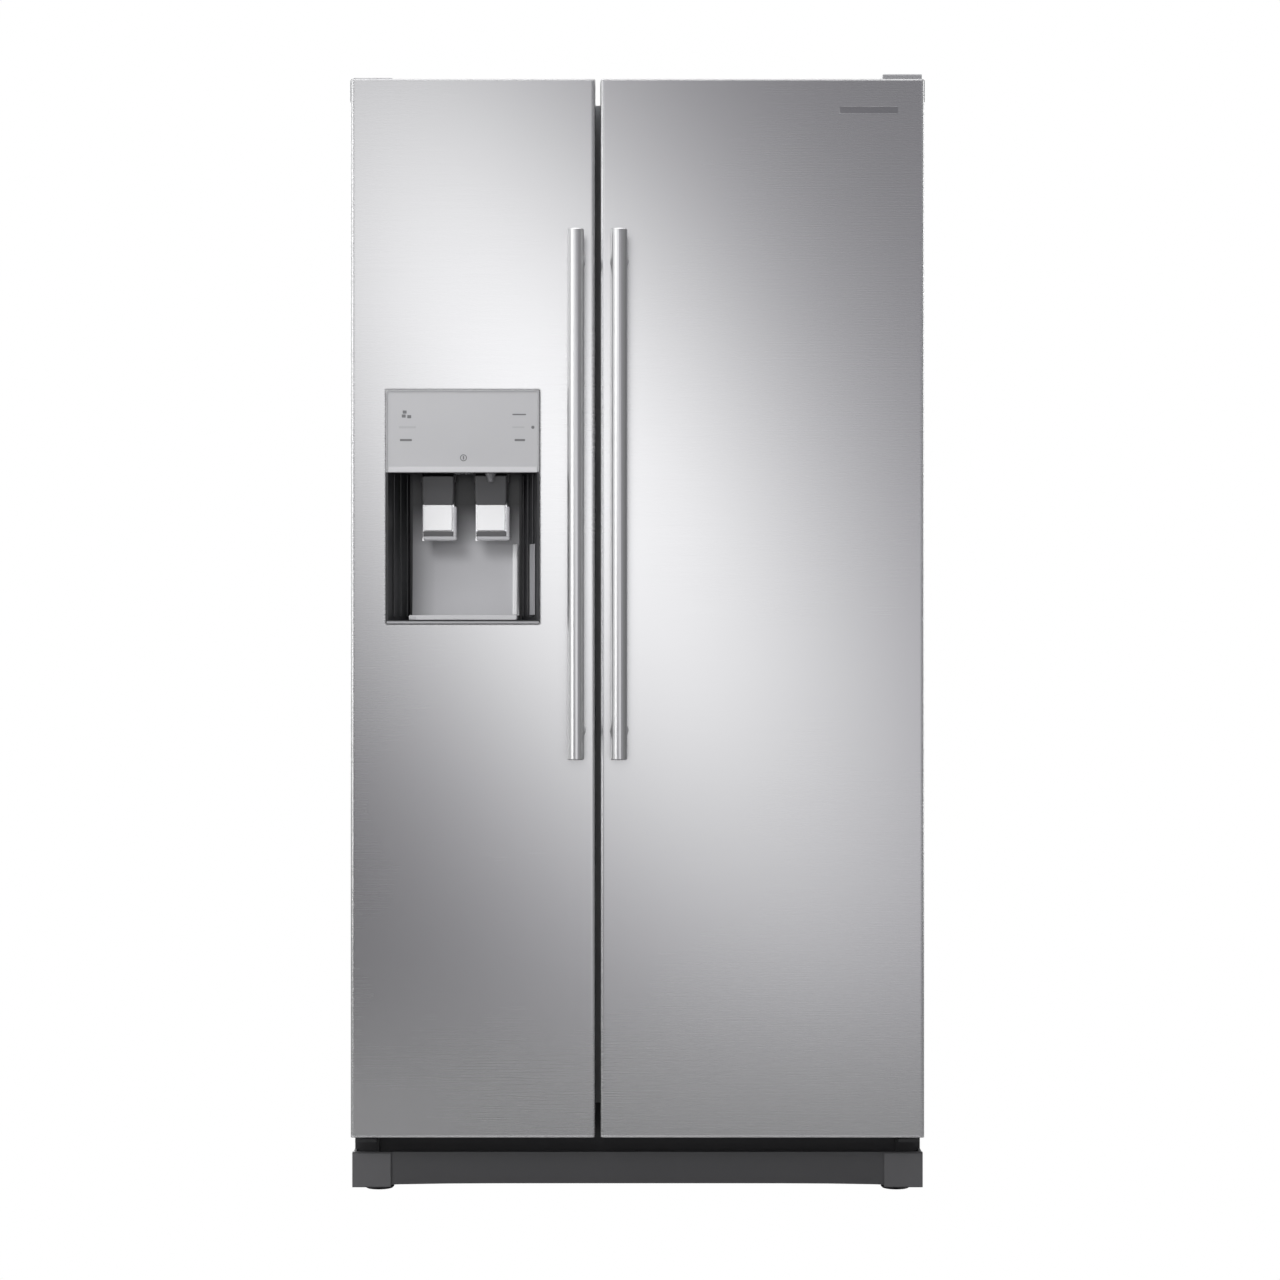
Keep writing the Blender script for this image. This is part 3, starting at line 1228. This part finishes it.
def make_ice_bucket():
    """The ice bucket, with a spout that hangs over the door's chute."""
    left, right = FREEZER_LEFT + ICE_GAP_HINGE, FREEZER_RIGHT - ICE_GAP_FREE
    front, back = CABINET_FRONT + ICE_FRONT, CABINET_FRONT + ICE_BACK
    top = ICE_FLOOR + ICE_HEIGHT
    bucket = box("ice_bucket", (left, front, ICE_FLOOR), (right, back, top), CLEAR_PLASTIC)
    spout_left = CHUTE_X - SPOUT_LEFT
    spout_right = spout_left + SPOUT_WIDTH
    spout_front = front - SPOUT_REACH
    spout_top = ICE_FLOOR + SPOUT_HEIGHT
    join_box(bucket, (spout_left, spout_front, ICE_FLOOR), (spout_right, front + 0.01, spout_top))
    wall = ICE_WALL
    cut_box(
        bucket,
        (left + wall, front + wall, ICE_FLOOR + wall),
        (right - wall, back - wall, top + PAST),
    )
    cut_box(
        bucket,
        (spout_left + wall, spout_front + wall, ICE_FLOOR + wall),
        (spout_right - wall, front + PAST, spout_top - wall),
    )
    cut_box(
        bucket,
        (spout_left + wall, spout_front + wall, ICE_FLOOR - PAST),
        (CHUTE_X + CHUTE_WIDTH / 2 - 0.001, spout_front + wall + SPOUT_HOLE_DEPTH, ICE_FLOOR + PAST),
    )


def make_auger():
    """A wire spiral in the bucket's trough that pushes ice to the spout."""
    z = ICE_FLOOR + ICE_WALL + AUGER_RADIUS + AUGER_WIRE + AUGER_LIFT
    start = CABINET_FRONT + ICE_BACK - ICE_WALL - FIT
    length = ICE_BACK - ICE_FRONT - AUGER_END
    steps = AUGER_TURNS * AUGER_POINTS
    points = [(0, 0, 0), (0, -AUGER_SHAFT, 0)]
    for i in range(steps + 1):
        angle = 2 * math.pi * i / AUGER_POINTS
        along = -AUGER_LEAD - (length - AUGER_LEAD) * i / steps
        points.append((AUGER_RADIUS * math.cos(angle), along, AUGER_RADIUS * math.sin(angle)))
    hub = axis_empty("ice_auger_axis", (CHUTE_X, start, z))
    auger = tube("ice_auger", points, AUGER_WIRE, ALUMINIUM)
    auger.parent = hub


def make_ice_maker():
    """The ice maker above the bucket: a mould body with a motor box at its front."""
    left, right = FREEZER_LEFT + MAKER_GAP_HINGE, FREEZER_RIGHT - MAKER_GAP_FREE
    front, back = CABINET_FRONT + MAKER_FRONT, CABINET_FRONT + MAKER_BACK
    bottom, top = ICE_FLOOR + ICE_HEIGHT + MAKER_LIFT, CAVITY_TOP - MAKER_TOP_DROP
    maker = box("ice_maker", (left, front, bottom + 0.020), (right, back, top), WHITE_PLASTIC, None, 0.004)
    box_front = front - MOTOR_BOX_REACH
    join_box(maker, (left - 0.004, box_front, bottom), (left + MOTOR_BOX_WIDTH, front + 0.010, top - 0.004))
    hook_front, hook_back = back - 0.060, back - 0.010
    join_box(maker, (left + 0.010, hook_front, top - 0.005), (right - 0.010, hook_back, CAVITY_TOP - FIT))
    pitch = (back - front - 0.030) / MAKER_POCKETS
    for i in range(MAKER_POCKETS):
        y = front + 0.025 + pitch * i
        cut_box(maker, (left + 0.090, y, top - 0.022), (right - 0.012, y + pitch * 0.75, top + PAST))


def fan_blades(hub_rod, place, axis, radius, depth, blades):
    """Joins pitched blades to a fan's hub."""
    for i in range(blades):
        angle = 2 * math.pi * i / blades
        blade = box(
            f"{hub_rod.name}_blade_{i}",
            (0.006, -depth * 0.62, -BLADE_THICKNESS / 2), (radius, depth * 0.62, BLADE_THICKNESS / 2),
        )
        centre = blade.location.copy()
        pitch = Matrix.Rotation(math.radians(BLADE_PITCH), 4, "X")
        spin = Matrix.Rotation(angle, 4, "Y") if axis == "Y" else (
            Matrix.Rotation(math.pi / 2, 4, "Z") @ Matrix.Rotation(angle, 4, "Y")
        )
        world = Matrix.Translation(place) @ spin @ pitch @ Matrix.Translation(centre)
        blade.matrix_world = world
        hang(blade, hub_rod.parent)
        join(hub_rod, blade)


def make_evaporator_fan():
    x = (FREEZER_LEFT + FREEZER_RIGHT) / 2
    front = DUCT_Y + DUCT_COVER + FAN_BEHIND_COVER
    centre = Vector((x, front + FAN_DEPTH / 2, FAN_Z))
    hub = axis_empty("evaporator_fan_axis", centre)
    half = Vector((0, FAN_DEPTH / 2, 0))
    fan = rod("evaporator_fan", centre - half, centre + half, FAN_HUB, DARK_PLASTIC, hub, sides=16)
    fan_blades(fan, centre, "Y", FAN_RADIUS, FAN_DEPTH / 2, FAN_BLADES)


def make_condenser_fan():
    centre = Vector((BLOWER_X, BLOWER_Y, BLOWER_Z))
    hub = axis_empty("condenser_fan_axis", centre)
    half = Vector((BLOWER_HALF, 0, 0))
    fan = rod("condenser_fan", centre - half, centre + half, FAN_HUB, DARK_PLASTIC, hub, sides=16)
    fan_blades(fan, centre, "X", BLOWER_RADIUS - BLOWER_GAP, BLOWER_HALF, FAN_BLADES)


def make_evaporator_cover():
    """The freezer's rear wall: a panel with air slots and a fan opening with a cross that holds the motor."""
    left, right = FREEZER_LEFT + FIT, FREEZER_RIGHT - FIT
    middle = (left + right) / 2
    cover = box(
        "evaporator_cover",
        (left, DUCT_Y, STEP_Z + 0.010),
        (right, DUCT_Y + DUCT_COVER, CAVITY_TOP - 0.004),
        WHITE_PLASTIC,
    )
    cut_hole(cover, (middle, DUCT_Y - PAST, FAN_Z), (middle, DUCT_Y + PAST, FAN_Z), FAN_RADIUS)
    reach = FAN_RADIUS + CROSS_HALF
    for x, z in ((reach, CROSS_HALF), (CROSS_HALF, reach)):
        join_box(cover, (middle - x, DUCT_Y, FAN_Z - z), (middle + x, DUCT_Y + DUCT_COVER, FAN_Z + z))
    join_rod(
        cover,
        (middle, DUCT_Y + 0.0005, FAN_Z), (middle, DUCT_Y + DUCT_COVER + FAN_BEHIND_COVER - FIT, FAN_Z),
        0.010, 16,
    )
    for row in range(COVER_SLOTS):
        z = EVAPORATOR_BOTTOM + (row + 1.4) * COVER_SLOT_PITCH
        cut_box(
            cover,
            (left + COVER_MARGIN, DUCT_Y - PAST, z),
            (right - COVER_MARGIN, DUCT_Y + PAST, z + AIR_SLOT),
        )


def make_evaporator():
    """A finned block behind the evaporator cover."""
    left, right = FREEZER_LEFT + EVAPORATOR_MARGIN, FREEZER_RIGHT - EVAPORATOR_MARGIN
    front, back = DUCT_Y + DUCT_COVER + FAN_BEHIND_COVER, CAVITY_BACK - FIT
    low, high = EVAPORATOR_BOTTOM, EVAPORATOR_BOTTOM + EVAPORATOR_HEIGHT
    block = box("evaporator", (left, front + 0.008, low), (right, back, high), ALUMINIUM)
    pitch = EVAPORATOR_HEIGHT / EVAPORATOR_FINS
    for i in range(EVAPORATOR_FINS):
        z = low + pitch * i
        slot_top = z + pitch - FIN_THICKNESS
        cut_box(block, (left - PAST, front - PAST, z + FIN_THICKNESS), (right + PAST, front + 0.020, slot_top))


def make_air_duct():
    """The fridge's rear air duct, with a slot over each shelf."""
    middle, half = (FRIDGE_LEFT + FRIDGE_RIGHT) / 2, DUCT_WIDTH / 2
    front = CAVITY_BACK - DUCT_DEPTH
    duct = box(
        "fridge_air_duct",
        (middle - half, front, CRISPER_COVER_Z + DUCT_FOOT),
        (middle + half, CAVITY_BACK - FIT, CAVITY_TOP - 0.010),
        WHITE_PLASTIC, None, 0.006,
    )
    slot = half - DUCT_SLOT_MARGIN
    for share in DUCT_SLOT_SHARES:
        z = up_cavity(share)
        cut_box(
            duct, (middle - slot, front - PAST, z), (middle + slot, front + DUCT_SLOT_DEPTH, z + DUCT_SLOT)
        )


def make_compressor():
    """A domed hermetic compressor on a foot plate."""
    floor = FRAME_BOTTOM + TRAY + FIT
    radius, height = COMPRESSOR_RADIUS, COMPRESSOR_HEIGHT
    wide, deep, foot_height = COMPRESSOR_FOOT
    rise = radius * COMPRESSOR_DOME
    dome = arc((0, floor + height - rise), rise, 90, 0, 5)
    profile = [(u / COMPRESSOR_DOME, v) for u, v in dome]
    profile += [(radius, floor + 0.030), (radius * 0.8, floor + 0.012), (0, floor + 0.012)]
    profile[0] = (0, profile[0][1])
    shell = turned("compressor", profile, (COMPRESSOR_X, BLOWER_Y, 0), BLACK_STEEL)
    join_box(
        shell,
        (COMPRESSOR_X - wide, BLOWER_Y - deep, floor),
        (COMPRESSOR_X + wide, BLOWER_Y + deep, floor + foot_height),
    )


def make_condenser():
    """A serpentine tube: upright passes joined by half-round bends."""
    right = CONDENSER_LEFT + CONDENSER_LENGTH
    points = []
    for i in range(CONDENSER_PASSES):
        z = CONDENSER_ROWS_FROM + 2 * CONDENSER_BEND * i
        ends = (right, CONDENSER_LEFT) if i % 2 else (CONDENSER_LEFT, right)
        points += [(ends[0], BLOWER_Y, z), (ends[1], BLOWER_Y, z)]
        if i + 1 < CONDENSER_PASSES:
            away = 1 if i % 2 == 0 else -1
            bend = arc((ends[1], z + CONDENSER_BEND), CONDENSER_BEND, -90, 90, 6)[1:-1]
            points += [(ends[1] + away * (x - ends[1]), BLOWER_Y, height) for x, height in bend]
    tube("condenser_coil", points, CONDENSER_TUBE, COPPER)


def make_machine_cover():
    """The rear cover of the machine room, with two rows of air slots."""
    side = RIGHT - SHEET - FIT
    low, high = FRAME_BOTTOM + TRAY + 0.004, MACHINE_TOP - 0.003
    front = CHASSIS_BACK + FIT
    cover = box("machine_room_cover", (-side, front, low), (side, front + SHEET, high), GALVANISED)
    pitch_x, pitch_z = 2 * side / (SLOT_COLUMNS + 1), (high - low) / (SLOT_ROWS + 1)
    for column in range(SLOT_COLUMNS):
        for row in range(SLOT_ROWS):
            x = -side + pitch_x * (column + 1)
            z = low + pitch_z * (row + 1)
            cut_box(cover, (x - 0.028, BACK - PAST, z - 0.006), (x + 0.028, BACK + PAST, z + 0.006))


def make_fittings():
    for i, z in enumerate(FREEZER_SHELVES):
        make_shelf(f"freezer_shelf_{i + 1}", FREEZER_LEFT, FREEZER_RIGHT, z, GLASS)
    for i, z in enumerate(FRIDGE_SHELVES):
        make_shelf(f"fridge_shelf_{i + 1}", FRIDGE_LEFT, FRIDGE_RIGHT, z, GLASS, CAVITY_BACK - 0.034)
    make_shelf("crisper_cover", FRIDGE_LEFT, FRIDGE_RIGHT, CRISPER_COVER_Z, GLASS, CAVITY_BACK - 0.034)
    for i, (bottom, height, depth) in enumerate(DRAWER_LEVELS):
        make_drawer(f"freezer_drawer_{i + 1}", *FREEZER_DRAWER_X, bottom, height, depth)
        make_drawer(f"crisper_drawer_{i + 1}", *CRISPER_X, bottom, height, depth)


# ---------------------------------------------------------------- the whole object
def main():
    make_casing()
    freezer = make_liner(
        "freezer_liner", FREEZER_LEFT, FREEZER_RIGHT,
        LEFT + FLANGE + FIT, GAP_X - MULLION_STRIP / 2 - FIT,
    )
    fridge = make_liner(
        "fridge_liner", FRIDGE_LEFT, FRIDGE_RIGHT,
        GAP_X + MULLION_STRIP / 2 + FIT, RIGHT - FLANGE - FIT,
    )
    add_shelf_rails(freezer, FREEZER_LEFT, FREEZER_RIGHT, FREEZER_SHELVES)
    add_shelf_rails(fridge, FRIDGE_LEFT, FRIDGE_RIGHT, (*FRIDGE_SHELVES, CRISPER_COVER_Z))
    add_drawer_rails(freezer, FREEZER_LEFT, FREEZER_RIGHT, *FREEZER_DRAWER_X)
    add_drawer_rails(fridge, FRIDGE_LEFT, FRIDGE_RIGHT, *CRISPER_X)
    make_insulation()
    make_back_panel()
    make_mullion_strip()
    make_chassis()
    make_kick()
    for name, sign in (("left", -1), ("right", 1)):
        make_foot(f"front_foot_{name}", sign * FOOT_X)
        make_roller(f"rear_roller_{name}", sign * ROLLER_X)
        hinge_x = sign * (RIGHT - CAP_PROUD - HINGE_INSET)
        make_lower_hinge(f"lower_hinge_{name}", hinge_x)
        make_upper_hinge(f"upper_hinge_{name}", hinge_x)
    make_hinge_cover("hinge_cover_left", -1, COVER_RISE_LEFT)
    make_hinge_cover("hinge_cover_right", 1, COVER_RISE_RIGHT)
    make_freezer_door()
    make_fridge_door()
    make_fittings()
    make_ice_bucket()
    make_auger()
    make_ice_maker()
    make_evaporator_cover()
    make_evaporator()
    make_evaporator_fan()
    make_air_duct()
    make_compressor()
    make_condenser()
    make_condenser_fan()
    make_machine_cover()


main()
